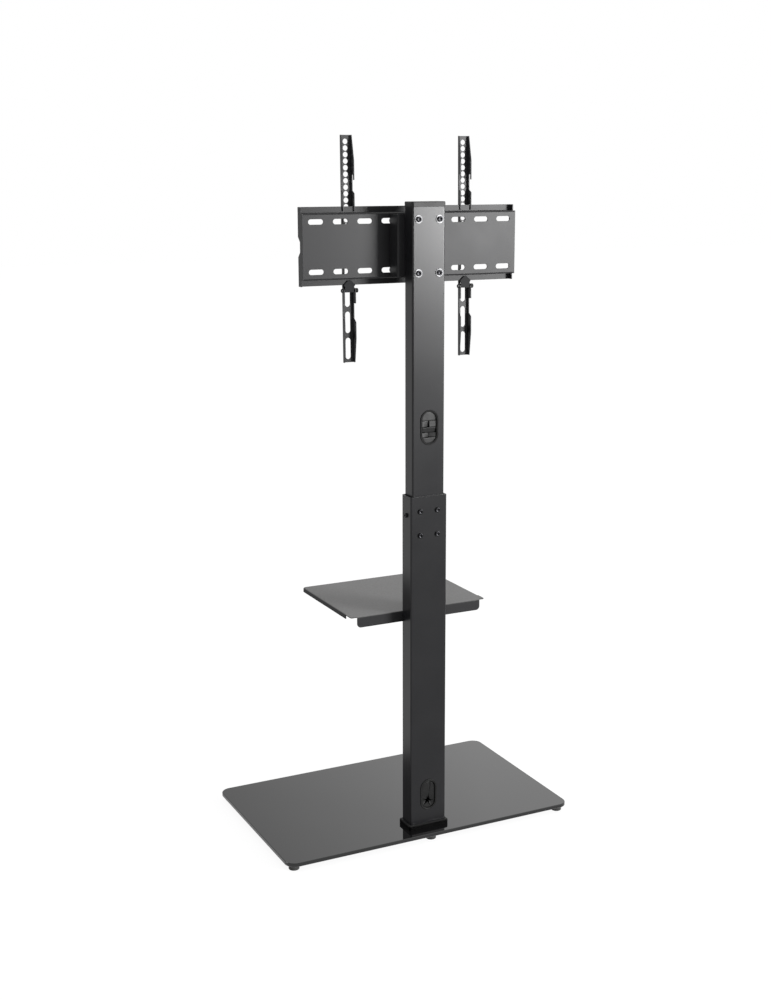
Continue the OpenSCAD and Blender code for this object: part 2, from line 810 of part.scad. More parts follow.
// Folded channel that holds the plate off the column
module mount_bracket() {
    color(steel_black) difference() {
        translate([0, bracket_y, plate_z - bracket_h / 2]) linear_extrude(bracket_h) {
            bracket_half();
            mirror([1, 0]) bracket_half();
        }
        translate([0, 0, plate_z]) {
            four(bolt_dx, bolt_dz)
                y_bar(m6_r + hole_gap, up_front - bracket_t - over, up_front + over);
            four(2 * plate_screw_x, slot_dz)
                y_bar(m6_r + hole_gap, bracket_y - over, bracket_y + bracket_t + over);
        }
    }
}

// Cross-section of the plate's upper half in Y and Z, up from its centre line
module plate_half() {
    bend = plate_bend;
    step_z = panel_h / 2;
    rear = plate_depth;
    // Panel, bend, step, bend and rail
    translate([rear - plate_t, 0]) square([plate_t, step_z - bend]);
    translate([rear - bend, step_z - bend]) quarter_ring(bend);
    translate([bend, step_z - plate_t]) square([rear - 2 * bend, plate_t]);
    translate([bend, step_z - plate_t + bend]) rotate(180) quarter_ring(bend);
    translate([0, step_z - plate_t + bend]) square([plate_t, rail_h + plate_t - bend]);
}

// A quarter of a ring, one sheet thick, in the first quadrant
module quarter_ring(r) {
    intersection() {
        difference() {
            circle(r);
            circle(r - plate_t);
        }
        square([r, r]);
    }
}

// The plate's end wall in Y and Z, with ears beside the rails and a finger notch
module end_wall_outline() {
    difference() {
        union() {
            translate([0, -panel_h / 2]) square([plate_depth, panel_h]);
            translate([0, -plate_h / 2]) square([ear_d, plate_h]);
        }
        polygon([[-over, end_notch_h / 2], [0, end_notch_h / 2],
            [end_notch_d, end_notch_floor_h / 2], [end_notch_d, -end_notch_floor_h / 2],
            [0, -end_notch_h / 2], [-over, -end_notch_h / 2]]);
    }
}

// Pressed plate: a slotted panel, two stepped rails and closed ends
module mount_plate() {
    half = plate_w / 2;
    slot_side = (slot_count - 1) / 2;
    color(steel_black) translate([0, plate_y, plate_z]) difference() {
        union() {
            for (side = [0, 1]) mirror([0, 0, side])
                along_x(-half, half) plate_half();
            for (x = [-half, half - plate_t])
                along_x(x, x + plate_t) end_wall_outline();
        }
        for (i = [-slot_side : slot_side], z = [-1, 1])
            translate([i * slot_pitch, 0, z * slot_dz / 2])
                along_y(plate_depth - plate_t - over, plate_depth + over)
                    slot_outline(slot_len, slot_w);
    }
}

module column_bolts() {
    grip = washer_t + up_d + bracket_t + m6_nut_h + bolt_end;
    color(steel_dark) translate([0, up_rear + washer_t, plate_z]) four(bolt_dx, bolt_dz)
        rotate([-90, 0, 0]) screw(m6_r, grip, m6_head_r, m6_head_h);
}

module bolt_washers() {
    color(steel_bright) translate([0, 0, plate_z]) four(bolt_dx, bolt_dz) difference() {
        y_bar(washer_r, up_rear, up_rear + washer_t);
        y_bar(m6_r + hole_gap, up_rear - over, up_rear + washer_t + over);
    }
}

module column_nuts() {
    color(steel_bright) translate([0, up_front - bracket_t, plate_z]) four(bolt_dx, bolt_dz)
        rotate([90, 0, 0]) hex_nut(m6_r + thread_gap, m6_r * nut_share, m6_nut_h);
}

// Screws from the screen side through the inner slots into the channel's flanges
module plate_screws() {
    grip = plate_t + bracket_t + m6_nut_h + bolt_end;
    color(steel_dark) translate([0, plate_y + plate_depth - plate_t, plate_z])
        four(2 * plate_screw_x, slot_dz) rotate([90, 0, 0])
            screw(m6_r, grip, m6_head_r * wide_head_share, m6_head_h);
}

module plate_nuts() {
    color(steel_bright) translate([0, bracket_y + bracket_t, plate_z])
        four(2 * plate_screw_x, slot_dz) rotate([-90, 0, 0])
            hex_nut(m6_r + thread_gap, m6_r * nut_share, m6_nut_h);
}

// Cross-section of an arm in X and Y: web towards the screen, splayed flanges
module arm_section() {
    half = arm_w / 2;
    translate([0, arm_front + arm_t / 2])
        square([arm_w - 2 * arm_bend, arm_t], center = true);
    for (side = [0, 1]) mirror([side, 0])
        translate([half - arm_bend, arm_front + arm_bend]) {
            intersection() {
                difference() {
                    circle(arm_bend);
                    circle(arm_bend - arm_t);
                }
                polygon([[0, 0], [0, -2 * arm_bend], [2 * arm_bend, -2 * arm_bend],
                    [2 * arm_bend, -2 * arm_bend * tan(arm_splay)]]);
            }
            rotate(-arm_splay) translate([arm_bend - arm_t, 0]) square([arm_t, arm_d]);
        }
}

// Outline of an arm in Y and Z, with z = 0 at its top: two hooks that open
// downwards behind the upper rail, and two notches for the lower rail
module arm_profile() {
    out = arm_front - over;
    rear = arm_rear;
    base = notch_base;
    hook_a = hook_drop - hook_pitch;
    hook_b = hook_drop;
    low_b = hook_drop + notch_drop;
    low_a = low_b + hook_pitch;
    polygon([
        [out, over], [arm_front + arm_top_d, over], [arm_front + arm_top_d, 0],
        [rear, -top_taper],
        for (h = [hook_a, hook_b]) each [
            [rear, -h - hook_neck], [tongue_in, -h - hook_neck], [tongue_in, -h],
            [base, -h], [base, -h - hook_floor], [rear, -h - hook_floor - hook_ramp]],
        [rear, -low_b], [base, -low_b], [base, -low_b - notch_len],
        [rear, -low_b - notch_len - notch_ramp],
        [rear, -low_a], [base, -low_a], [base, -low_a - far_notch_len],
        [rear, -low_a - far_notch_len - far_notch_ramp],
        [rear, bottom_taper - arm_len], [arm_front + arm_bottom_d, -arm_len],
        [arm_front + arm_bottom_d, -arm_len - over], [out, -arm_len - over]
    ]);
}

// Puts what is drawn in the arm's frame on the rail, at the arm's lean
module on_rail(side) {
    translate([side * arm_spacing / 2, rail_y, rail_top]) rotate([arm_lean, 0, 0])
        translate([0, 0, arm_top - rail_top]) children();
}

// One arm, with its row of round holes, its long slots and its pivot holes
module arm(side) {
    web_hole = arm_front - over;
    web_out = arm_front + arm_t + over;
    on_rail(side) difference() {
        intersection() {
            translate([0, 0, -arm_len]) linear_extrude(arm_len) arm_section();
            along_x(-arm_w, arm_w) arm_profile();
        }
        for (i = [0 : hole_count - 1])
            translate([0, 0, -first_hole - i * hole_pitch]) y_bar(hole_r, web_hole, web_out);
        for (i = [0 : arm_slot_count - 1])
            translate([0, 0, last_slot - arm_len + i * arm_slot_pitch])
                along_y(web_hole, web_out) rotate(90) slot_outline(arm_slot_len, arm_slot_w);
        translate([0, pivot_y, -pivot_drop]) x_bar(lock_r + pin_gap, -arm_w, arm_w);
    }
}

// Folded latch: a pointed plate that stands behind the lower rail, and two
// cheeks inside the arm that turn on the lock screw
module latch(side) {
    low = channel_half - slide_gap;
    on_rail(side) translate([0, pivot_y, -pivot_drop]) {
        along_y(latch_y, latch_y + latch_t)
            polygon([[-low, -latch_base], [low, -latch_base], [low, cheek_h + latch_tip],
                [latch_shoulder, latch_shoulder_z], [latch_tip, latch_h],
                [-latch_tip, latch_h], [-latch_shoulder, latch_shoulder_z],
                [-low, cheek_h + latch_tip]]);
        for (x = [-low, low - latch_t]) difference() {
            along_x(x, x + latch_t) cheek_outline();
            x_bar(lock_r + pin_gap, x - over, x + latch_t + over);
        }
    }
}

// Side of the latch in Y and Z: round in front of the pivot, square at the plate
module cheek_outline() {
    translate([0, -latch_base]) square([latch_y + latch_t, latch_base + cheek_h]);
    intersection() {
        circle(latch_base);
        translate([-latch_base, -latch_base]) square([latch_base, 2 * latch_base]);
    }
}

// Thumb screw through both flanges; its knurled head is on the -X side
module lock_screw(side) {
    head_x = -flange_half - seat_gap;
    end_x = flange_half + lock_nut_h + 2 * seat_gap;
    on_rail(side) translate([0, pivot_y, -pivot_drop]) {
        x_bar(lock_r, head_x - knob_len / 2, end_x);
        difference() {
            x_bar(knob_r, head_x - knob_len, head_x);
            for (i = [0 : knob_flutes - 1])
                rotate([i * 360 / knob_flutes, 0, 0]) translate([0, 0, knob_r])
                    x_bar(lock_flute_r, head_x - knob_len - over, head_x + over);
        }
    }
}

module lock_nut(side) {
    on_rail(side) translate([flange_half + seat_gap, pivot_y, -pivot_drop])
        rotate([0, 90, 0]) hex_nut(lock_r + pin_gap, lock_r * nut_share, lock_nut_h);
}

module left_arm() { color(steel_black) arm(1); }
module right_arm() { color(steel_black) arm(-1); }
module left_latch() { color(steel_dark) latch(1); }
module right_latch() { color(steel_dark) latch(-1); }
module left_lock_screw() { color(plastic_black) lock_screw(1); }
module right_lock_screw() { color(plastic_black) lock_screw(-1); }
module left_lock_nut() { color(steel_bright) lock_nut(1); }
module right_lock_nut() { color(steel_bright) lock_nut(-1); }

glass_base();
base_feet();
backing_plate();
base_seal();
base_bolts();
column_foot();
base_collar();
lower_column();
column_guides();
height_screws();
clamp_plate();
side_screw();
lower_cable_outlet();
shelf();
shelf_screws();
shelf_rivet_nuts();
upper_column();
slider_plug();
end_cap();
upper_cable_outlet();
mount_bracket();
mount_plate();
column_bolts();
bolt_washers();
column_nuts();
plate_screws();
plate_nuts();
left_arm();
left_latch();
left_lock_screw();
left_lock_nut();
right_arm();
right_latch();
right_lock_screw();
right_lock_nut();
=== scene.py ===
import json
from math import asin, cos, pi, radians, sin, sqrt

import bmesh
import bpy
from mathutils import Matrix, Vector

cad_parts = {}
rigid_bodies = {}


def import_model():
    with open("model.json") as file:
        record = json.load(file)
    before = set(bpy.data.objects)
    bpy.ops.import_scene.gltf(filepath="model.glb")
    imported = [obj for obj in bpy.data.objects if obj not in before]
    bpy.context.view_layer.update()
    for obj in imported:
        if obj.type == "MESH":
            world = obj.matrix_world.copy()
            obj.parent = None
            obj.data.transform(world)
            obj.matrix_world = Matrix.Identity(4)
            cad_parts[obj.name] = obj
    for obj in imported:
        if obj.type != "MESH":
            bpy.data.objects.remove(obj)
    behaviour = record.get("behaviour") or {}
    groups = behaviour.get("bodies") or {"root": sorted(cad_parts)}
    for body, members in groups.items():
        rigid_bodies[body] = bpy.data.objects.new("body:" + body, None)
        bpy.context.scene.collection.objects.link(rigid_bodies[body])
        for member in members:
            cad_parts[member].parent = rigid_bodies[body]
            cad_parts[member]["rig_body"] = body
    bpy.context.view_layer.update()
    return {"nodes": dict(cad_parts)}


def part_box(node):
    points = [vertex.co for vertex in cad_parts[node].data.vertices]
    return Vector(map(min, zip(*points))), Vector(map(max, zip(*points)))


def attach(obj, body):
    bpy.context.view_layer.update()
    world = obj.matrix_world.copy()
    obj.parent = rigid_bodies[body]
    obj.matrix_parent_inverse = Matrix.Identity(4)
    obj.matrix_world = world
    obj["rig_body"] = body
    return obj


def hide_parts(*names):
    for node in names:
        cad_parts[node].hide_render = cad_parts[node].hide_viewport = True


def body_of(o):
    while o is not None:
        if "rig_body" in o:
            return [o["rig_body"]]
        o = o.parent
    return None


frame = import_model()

nodes = frame["nodes"]
MM = 0.001


# Glass base: one sheet of tempered float glass, 8 mm thick, with ground and
# polished edges. It is painted black on its underside, so the top stays a mirror.
def new_finish(name):
    """An empty material with its Principled shader."""
    finish = bpy.data.materials.new(name)
    finish.use_nodes = True
    tree = finish.node_tree
    tree.nodes.clear()
    out = tree.nodes.new("ShaderNodeOutputMaterial")
    shader = tree.nodes.new("ShaderNodeBsdfPrincipled")
    tree.links.new(shader.outputs["BSDF"], out.inputs["Surface"])
    return finish, tree, shader


def new_effect(name, inputs, outputs):
    """An empty shader group with named float inputs and named outputs."""
    group = bpy.data.node_groups.new(name, "ShaderNodeTree")
    for label, value in inputs.items():
        socket = group.interface.new_socket(label, in_out="INPUT", socket_type="NodeSocketFloat")
        socket.default_value = value
    for label, kind in outputs.items():
        group.interface.new_socket(label, in_out="OUTPUT", socket_type=kind)
    return group, group.nodes.new("NodeGroupInput"), group.nodes.new("NodeGroupOutput")


def math_node(tree, operation, first, second):
    """A math node; each operand is a socket or a plain number."""
    node = tree.nodes.new("ShaderNodeMath")
    node.operation = operation
    for slot, value in enumerate((first, second)):
        if isinstance(value, bpy.types.NodeSocket):
            tree.links.new(value, node.inputs[slot])
        else:
            node.inputs[slot].default_value = value
    return node.outputs["Value"]


def noise(tree, size, detail):
    """Noise whose blotches have the size, in metres, that a socket gives."""
    node = tree.nodes.new("ShaderNodeTexNoise")
    node.inputs["Detail"].default_value = detail
    tree.links.new(math_node(tree, "DIVIDE", 1.0, size), node.inputs["Scale"])
    place = tree.nodes.new("ShaderNodeTexCoord").outputs["Object"]
    tree.links.new(place, node.inputs["Vector"])
    return node.outputs["Fac"]


def remap(tree, value, low, high, to_low, to_high):
    """Stretches the range low to high of a socket to another range."""
    node = tree.nodes.new("ShaderNodeMapRange")
    tree.links.new(value, node.inputs["Value"])
    ends = {"From Min": low, "From Max": high, "To Min": to_low, "To Max": to_high}
    for label, end in ends.items():
        if isinstance(end, bpy.types.NodeSocket):
            tree.links.new(end, node.inputs[label])
        else:
            node.inputs[label].default_value = end
    return node.outputs["Result"]


# Grain and patches of a finish: fine relief, slow changes of gloss and of tone. Noise
# keeps between NOISE_LOW and NOISE_HIGH, nearly always.
NOISE_LOW, NOISE_HIGH = 0.2, 0.8
grain, grain_in, grain_out = new_effect(
    "Grain and patches",
    {"Grain size": 0.001, "Patch size": 0.08, "Glossiest": 0.3, "Dullest": 0.4},
    {"Relief": "NodeSocketFloat", "Roughness": "NodeSocketFloat", "Patches": "NodeSocketFloat"})
fine = noise(grain, grain_in.outputs["Grain size"], 2.0)
slow = noise(grain, grain_in.outputs["Patch size"], 3.0)
grain.links.new(fine, grain_out.inputs["Relief"])
grain.links.new(
    remap(grain, slow, NOISE_LOW, NOISE_HIGH,
          grain_in.outputs["Glossiest"], grain_in.outputs["Dullest"]),
    grain_out.inputs["Roughness"])
grain.links.new(
    remap(grain, slow, NOISE_LOW, NOISE_HIGH, 0.0, 1.0), grain_out.inputs["Patches"])

# Pale tone on upward faces: settled dust where the amount is small, painted sheen where high
steepest, thinnest = 0.4, 0.75
dust_and_sheen, dust_and_sheen_in, dust_and_sheen_out = new_effect(
    "Settled dust", {"Amount": 0.1, "Speck size": 0.004}, {"Mask": "NodeSocketFloat"})
facing = dust_and_sheen.nodes.new("ShaderNodeSeparateXYZ")
dust_and_sheen.links.new(dust_and_sheen.nodes.new("ShaderNodeNewGeometry").outputs["Normal"], facing.inputs["Vector"])
upward = remap(dust_and_sheen, facing.outputs["Z"], steepest, 1.0, 0.0, 1.0)
specks = remap(dust_and_sheen, noise(dust_and_sheen, dust_and_sheen_in.outputs["Speck size"], 4.0),
               NOISE_LOW, NOISE_HIGH, thinnest, 1.0)
upward_specks = math_node(dust_and_sheen, "MULTIPLY", upward, specks)
dust_and_sheen.links.new(math_node(dust_and_sheen, "MULTIPLY", upward_specks, dust_and_sheen_in.outputs["Amount"]),
               dust_and_sheen_out.inputs["Mask"])

# Edges: the small radius that every pressed or cut edge has, and a mask where it rubs.
# The turn is the cosine between the softened and the true normal.
turn_start, turn_full, wear_start, wear_full = 0.985, 0.85, 0.4, 0.62
edges, edges_in, edges_out = new_effect(
    "Softened edges", {"Radius": 0.0006, "Wear size": 0.006},
    {"Normal": "NodeSocketVector", "Worn": "NodeSocketFloat"})
bevel = edges.nodes.new("ShaderNodeBevel")
bevel.samples = 4
edges.links.new(edges_in.outputs["Radius"], bevel.inputs["Radius"])
turn = edges.nodes.new("ShaderNodeVectorMath")
turn.operation = "DOT_PRODUCT"
edges.links.new(bevel.outputs["Normal"], turn.inputs[0])
edges.links.new(edges.nodes.new("ShaderNodeNewGeometry").outputs["Normal"], turn.inputs[1])
rim = remap(edges, turn.outputs["Value"], turn_start, turn_full, 0.0, 1.0)
broken = remap(edges, noise(edges, edges_in.outputs["Wear size"], 3.0),
               wear_start, wear_full, 0.0, 1.0)
edges.links.new(bevel.outputs["Normal"], edges_out.inputs["Normal"])
edges.links.new(math_node(edges, "MULTIPLY", rim, broken), edges_out.inputs["Worn"])


def add_effect(tree, group, **values):
    """Places a shader group in a material; keyword names are its inputs' names."""
    node = tree.nodes.new("ShaderNodeGroup")
    node.node_tree = group
    for label, value in values.items():
        node.inputs[label.replace("_", " ").capitalize()].default_value = value
    return node


# The numbers of a Mix node's sockets for colours
MIX_FIRST, MIX_SECOND, MIX_RESULT = 6, 7, 2


def mixed(tree, factor, first, second):
    """Blends two colours by a socket; each is a socket or a grey or RGB value."""
    node = tree.nodes.new("ShaderNodeMix")
    node.data_type = "RGBA"
    tree.links.new(factor, node.inputs["Factor"])
    for slot, value in ((MIX_FIRST, first), (MIX_SECOND, second)):
        if isinstance(value, bpy.types.NodeSocket):
            tree.links.new(value, node.inputs[slot])
        else:
            node.inputs[slot].default_value = (*value, 1.0)
    return node.outputs[MIX_RESULT]


def finish_of(name, colour, patchy, glossiest, dullest, grain_size, patch_size, relief,
              worn=None, dust_and_sheen_amount=0.0, metal=0.0, edge=0.0, settings=()):
    """A finish: base colour with patches, worn edges, dust and painted sheen on upward faces,
    gloss and relief.
    """
    finish, tree, shader = new_finish(name)
    body = add_effect(tree, grain, grain_size=grain_size, patch_size=patch_size,
                      glossiest=glossiest, dullest=dullest)
    tone = mixed(tree, body.outputs["Patches"], colour, patchy)
    bump = tree.nodes.new("ShaderNodeBump")
    bump.inputs["Distance"].default_value = relief
    tree.links.new(body.outputs["Relief"], bump.inputs["Height"])
    if edge:
        soft = add_effect(tree, edges, radius=edge)
        tree.links.new(soft.outputs["Normal"], bump.inputs["Normal"])
        if worn:
            tone = mixed(tree, soft.outputs["Worn"], tone, worn)
    # Upward faces get paler: dust, plus painted sheen for reflected light where the amount is high
    if dust_and_sheen_amount:
        dust_and_sheen_film = add_effect(tree, dust_and_sheen, amount=dust_and_sheen_amount)
        tone = mixed(tree, dust_and_sheen_film.outputs["Mask"], tone, DUST_AND_SHEEN_TONE)
    tree.links.new(tone, shader.inputs["Base Color"])
    tree.links.new(body.outputs["Roughness"], shader.inputs["Roughness"])
    tree.links.new(bump.outputs["Normal"], shader.inputs["Normal"])
    shader.inputs["Metallic"].default_value = metal
    for label, value in settings:
        shader.inputs[label].default_value = value
    return finish


def dress(node, finish):
    """Gives a node of the frame its finish; its mesh stays as it is."""
    for slot in nodes[node].material_slots:
        slot.material = finish


# The tone of dust, and of the painted sheen that stands for reflected light
DUST_AND_SHEEN_TONE = (0.32, 0.318, 0.315)
GLASS_BLACK = (0.001, 0.001, 0.0012)
GLASS_PAINT = (0.0025, 0.0025, 0.003)
GLASS_IOR = 1.6
black_glass = finish_of(
    "black glass", GLASS_BLACK, GLASS_PAINT, glossiest=0.015, dullest=0.045, grain_size=0.02,
    patch_size=0.12, relief=2e-7, dust_and_sheen_amount=0.01, settings=[("IOR", GLASS_IOR)])
dress("glass_base", black_glass)


# Feet: six turned rubber pads, each with a flange against the glass and two ring
# grooves in its sole. They are stuck to the underside of the glass.
def loft(name, outlines, loop=False):
    """A closed skin over outlines that have the same number of points."""
    shell = bmesh.new()
    rows = [[shell.verts.new(point) for point in outline] for outline in outlines]
    spans = list(zip(rows, rows[1:]))
    if loop:
        spans.append((rows[-1], rows[0]))
    else:
        shell.faces.new(rows[0][::-1])
        shell.faces.new(rows[-1])
    for near, far in spans:
        for i, vertex in enumerate(near):
            j = (i + 1) % len(near)
            shell.faces.new((vertex, near[j], far[j], far[i]))
    bmesh.ops.recalc_face_normals(shell, faces=shell.faces)
    return finished_mesh(name, shell)


def finished_mesh(name, shell):
    """Turns mesh data into an object, smooth but for its real corners."""
    for face in shell.faces:
        face.smooth = True
    for edge in shell.edges:
        if len(edge.link_faces) == 2 and edge.calc_face_angle(0.0) > SHARP:
            edge.smooth = False
    mesh = bpy.data.meshes.new(name)
    shell.to_mesh(mesh)
    shell.free()
    piece = bpy.data.objects.new(name, mesh)
    bpy.context.scene.collection.objects.link(piece)
    return piece


def turned(name, steps, sides, axis, loop=False):
    """A turned part. Each step is a height along axis and a radius, or a
    radius that depends on the angle."""
    place = axis.to_track_quat("Z", "Y").to_matrix()
    outlines = []
    for height, radius in steps:
        outline = []
        for i in range(sides):
            angle = 2 * pi * i / sides
            reach = radius(angle) if callable(radius) else radius
            outline.append(place @ Vector((reach * cos(angle), reach * sin(angle), height)))
        outlines.append(outline)
    return loft(name, outlines, loop)


def spread_tree():
    """Geometry nodes that set one part on each point, turned by a random angle."""
    tree = bpy.data.node_groups.new("Set of fasteners", "GeometryNodeTree")
    face = tree.interface
    face.new_socket("Points", in_out="INPUT", socket_type="NodeSocketGeometry")
    for label, kind in (("Part", "NodeSocketObject"), ("Largest turn", "NodeSocketVector"),
                        ("Seed", "NodeSocketInt"), ("Finish", "NodeSocketMaterial")):
        face.new_socket(label, in_out="INPUT", socket_type=kind)
    face.new_socket("Set", in_out="OUTPUT", socket_type="NodeSocketGeometry")
    start, end = tree.nodes.new("NodeGroupInput"), tree.nodes.new("NodeGroupOutput")
    part = tree.nodes.new("GeometryNodeObjectInfo")
    angle = tree.nodes.new("FunctionNodeRandomValue")
    angle.data_type = "FLOAT_VECTOR"
    angle.inputs[0].default_value = (0.0, 0.0, 0.0)
    copies = tree.nodes.new("GeometryNodeInstanceOnPoints")
    solid = tree.nodes.new("GeometryNodeRealizeInstances")
    coat = tree.nodes.new("GeometryNodeSetMaterial")
    link = tree.links.new
    link(start.outputs["Part"], part.inputs["Object"])
    link(start.outputs["Largest turn"], angle.inputs[1])
    link(start.outputs["Seed"], angle.inputs["Seed"])
    link(start.outputs["Points"], copies.inputs["Points"])
    link(part.outputs["Geometry"], copies.inputs["Instance"])
    link(angle.outputs[0], copies.inputs["Rotation"])
    link(copies.outputs["Instances"], solid.inputs["Geometry"])
    link(solid.outputs["Geometry"], coat.inputs["Geometry"])
    link(start.outputs["Finish"], coat.inputs["Material"])
    link(coat.outputs["Geometry"], end.inputs["Set"])
    return tree


fastener_set = spread_tree()


def spread(name, part, places, axis, finish, seed, largest_turn=0.0):
    """One mesh with a copy of part on each place, each turned about axis."""
    points = bpy.data.meshes.new(name)
    points.from_pydata(places, [], [])
    holder = bpy.data.objects.new(name, points)
    bpy.context.scene.collection.objects.link(holder)
    steps = holder.modifiers.new("set", "NODES")
    steps.node_group = fastener_set
    keys = {item.name: item.identifier for item in fastener_set.interface.items_tree}
    steps[keys["Part"]] = part
    steps[keys["Largest turn"]] = [largest_turn * abs(share) for share in axis]
    steps[keys["Seed"]] = seed
    steps[keys["Finish"]] = finish
    view_layer = bpy.context.evaluated_depsgraph_get()
    mesh = bpy.data.meshes.new_from_object(holder.evaluated_get(view_layer))
    holder.modifiers.remove(steps)
    holder.data = mesh
    bpy.data.objects.remove(part)
    return holder


def seat(piece, like, slot, *more):
    """Puts a new piece in the place of a node, on the same body, and hides the node. The slot
    argument is not used.
    """
    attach(piece, body_of(nodes[like])[0])
    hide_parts(like, *more)


SHARP = radians(32)
UP = Vector((0, 0, 1))
RUBBER = (0.018, 0.018, 0.018)
RUBBER_PALE = (0.03, 0.03, 0.029)
soft_rubber = finish_of(
    "moulded rubber", RUBBER, RUBBER_PALE, glossiest=0.62, dullest=0.78, grain_size=0.0009,
    patch_size=0.012, relief=0.00006, dust_and_sheen_amount=0.12)

foot_sides, sole_centre, waist_r = 48, 1.2 * MM, 10.8 * MM
foot_r, groove, groove_slope, lip = 12 * MM, 0.8 * MM, 0.4, 0.3 * MM
feet_low, feet_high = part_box("base_feet")
foot_h = feet_high.z - feet_low.z
ring_grooves = ((2.6, 4.2), (5.6, 7.2))
foot_steps = [(0.0, sole_centre)]
for inner, outer in ring_grooves:
    foot_steps += [(0.0, inner * MM), (groove, (inner + groove_slope) * MM),
                   (groove, (outer - groove_slope) * MM), (0.0, outer * MM)]
foot_steps += [(0.0, 9.2 * MM), (0.5 * MM, 10.2 * MM), (1.4 * MM, waist_r),
               (foot_h - 2.4 * MM, waist_r), (foot_h - 2 * MM, 11.2 * MM),
               (foot_h - 1.6 * MM, foot_r), (foot_h - lip, foot_r), (foot_h, foot_r - lip)]
foot_places = [(x, y, feet_low.z)
               for x in (feet_low.x + foot_r, 0.0, feet_high.x - foot_r)
               for y in (feet_low.y + foot_r, feet_high.y - foot_r)]
feet = spread("rubber_feet", turned("foot", foot_steps, foot_sides, UP), foot_places, UP,
              soft_rubber, seed=3, largest_turn=pi)
seat(feet, "base_feet", "rubber")


# Backing plate, seal and base bolts: a black oxide plate spreads the load of four
# M8 zinc bolts under the glass, and a rubber sheet keeps the column's foot off it.
def hexagon(apothem, rounding=1.0):
    """The radius of a hexagon at each angle, with its corners cut to a circle."""
    def radius(angle):
        part = (angle + pi / 6) % (pi / 3) - pi / 6
        return min(apothem / cos(part), apothem * rounding * CORNER)
    return radius


def thread(z, shank, pitch, deep):
    """The radius of a screw's thread at height z, for each angle."""
    def radius(angle):
        turns = (z / pitch - angle / (2 * pi)) % 1.0
        return shank - deep * (1 - abs(2 * turns - 1))
    return radius


def threaded(start, end, shank, pitch, deep):
    """Steps of a thread along a shank, with TURN_STEPS of them to a turn."""
    count = max(2, round((end - start) / pitch * TURN_STEPS))
    heights = [start + (end - start) * i / count for i in range(count + 1)]
    return [(z, thread(z, shank, pitch, deep)) for z in heights]


def metal_finish(name, colour, patchy, glossiest, dullest):
    """A plated or blackened metal with a fine grain."""
    return finish_of(name, colour, patchy, glossiest=glossiest, dullest=dullest,
                     grain_size=0.0005, patch_size=0.006, relief=4e-6, dust_and_sheen_amount=0.03, metal=1.0)


# CORNER is a hexagon's corner radius over its half width across flats
CORNER, TURN_STEPS, SCREW_SIDES = 1.1547, 6, 36
ZINC, ZINC_DULL = (0.60, 0.60, 0.62), (0.42, 0.42, 0.43)
OXIDE, OXIDE_PALE = (0.018, 0.018, 0.02), (0.036, 0.036, 0.038)
zinc = metal_finish("zinc plate", ZINC, ZINC_DULL, 0.22, 0.4)
oxide = metal_finish("black oxide steel", OXIDE, OXIDE_PALE, 0.28, 0.42)
dress("backing_plate", oxide)
dress("base_seal", soft_rubber)

bolts_low, bolts_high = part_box("base_bolts")
bolt_flat, bolt_head, m8, m8_pitch = 6.5 * MM, 5.3 * MM, 4 * MM, 1.25 * MM
bolt_reach = bolt_flat * CORNER
bolt_len = bolts_high.z - bolts_low.z
base_bolt_steps = [
    (0.0, bolt_flat * 0.9), (0.5 * MM, hexagon(bolt_flat, 0.97)),
    (bolt_head - 0.4 * MM, hexagon(bolt_flat, 0.98)), (bolt_head, bolt_flat * 0.96),
    (bolt_head + 0.1 * MM, m8)]
base_bolt_steps += threaded(bolt_head + 1.5 * MM, bolt_len - MM, m8, m8_pitch, 0.6 * MM)
base_bolt_steps += [(bolt_len, m8 - 1.2 * MM)]
base_bolt_places = [(x, y, bolts_low.z)
                    for x in (bolts_low.x + bolt_reach, bolts_high.x - bolt_reach)
                    for y in (bolts_low.y + bolt_flat, bolts_high.y - bolt_flat)]
base_bolts = spread("hexagon_base_bolts", turned("bolt", base_bolt_steps, SCREW_SIDES, UP),
                    base_bolt_places, UP, zinc, seed=5)
seat(base_bolts, "base_bolts", "zinc_steel")


# Column foot and collar: the foot is welded to the lower tube, and an injection
# moulded collar, smooth and deep black, drops down the tube over it.
def shine(level):
    """The setting for how much a surface mirrors when it is seen head on."""
    return [("Specular IOR Level", level)]


LOW_SHINE, PLATE_SHINE, MATT, DULL, DEAD = map(shine, (0.29, 0.22, 0.21, 0.08, 0.03))
COLLAR, COLLAR_PALE = (0.0012, 0.0012, 0.0012), (0.0025, 0.0025, 0.0025)
# Its dust amount is partly settled dust and partly a painted highlight on the upward bevel
collar_plastic = finish_of(
    "glossy black plastic", COLLAR, COLLAR_PALE, glossiest=0.3, dullest=0.38, grain_size=0.0007,
    patch_size=0.03, relief=0.00002, dust_and_sheen_amount=0.08, settings=DEAD)
dress("base_collar", collar_plastic)

TUBE, TUBE_PATCH, COAT_WORN = (0.006, 0.006, 0.007), (0.009, 0.009, 0.010), (0.05, 0.05, 0.052)
satin_coat = finish_of(
    "satin powder coat", TUBE, TUBE_PATCH, glossiest=0.277, dullest=0.3, grain_size=0.0016,
    patch_size=0.09, relief=0.000012, worn=COAT_WORN, dust_and_sheen_amount=0.03, edge=0.0008, settings=LOW_SHINE)
dress("column_foot", satin_coat)


# Lower column: an 80 x 39 mm rectangular tube with 3 mm corners, in satin black
# powder coat. It carries the clamp screws, the shelf and the lower cable outlet.
dress("lower_column", satin_coat)


# Guides, clamp plate and clamp screws: two nylon strips centre the upper tube, and
# four M6 socket screws pull a threaded plate inside it against its rear wall.
NYLON, NYLON_PALE = (0.02, 0.02, 0.02), (0.035, 0.035, 0.034)
nylon = finish_of(
    "black nylon", NYLON, NYLON_PALE, glossiest=0.45, dullest=0.6, grain_size=0.0008,
    patch_size=0.02, relief=0.00002)
dress("column_guides", nylon)
dress("clamp_plate", oxide)


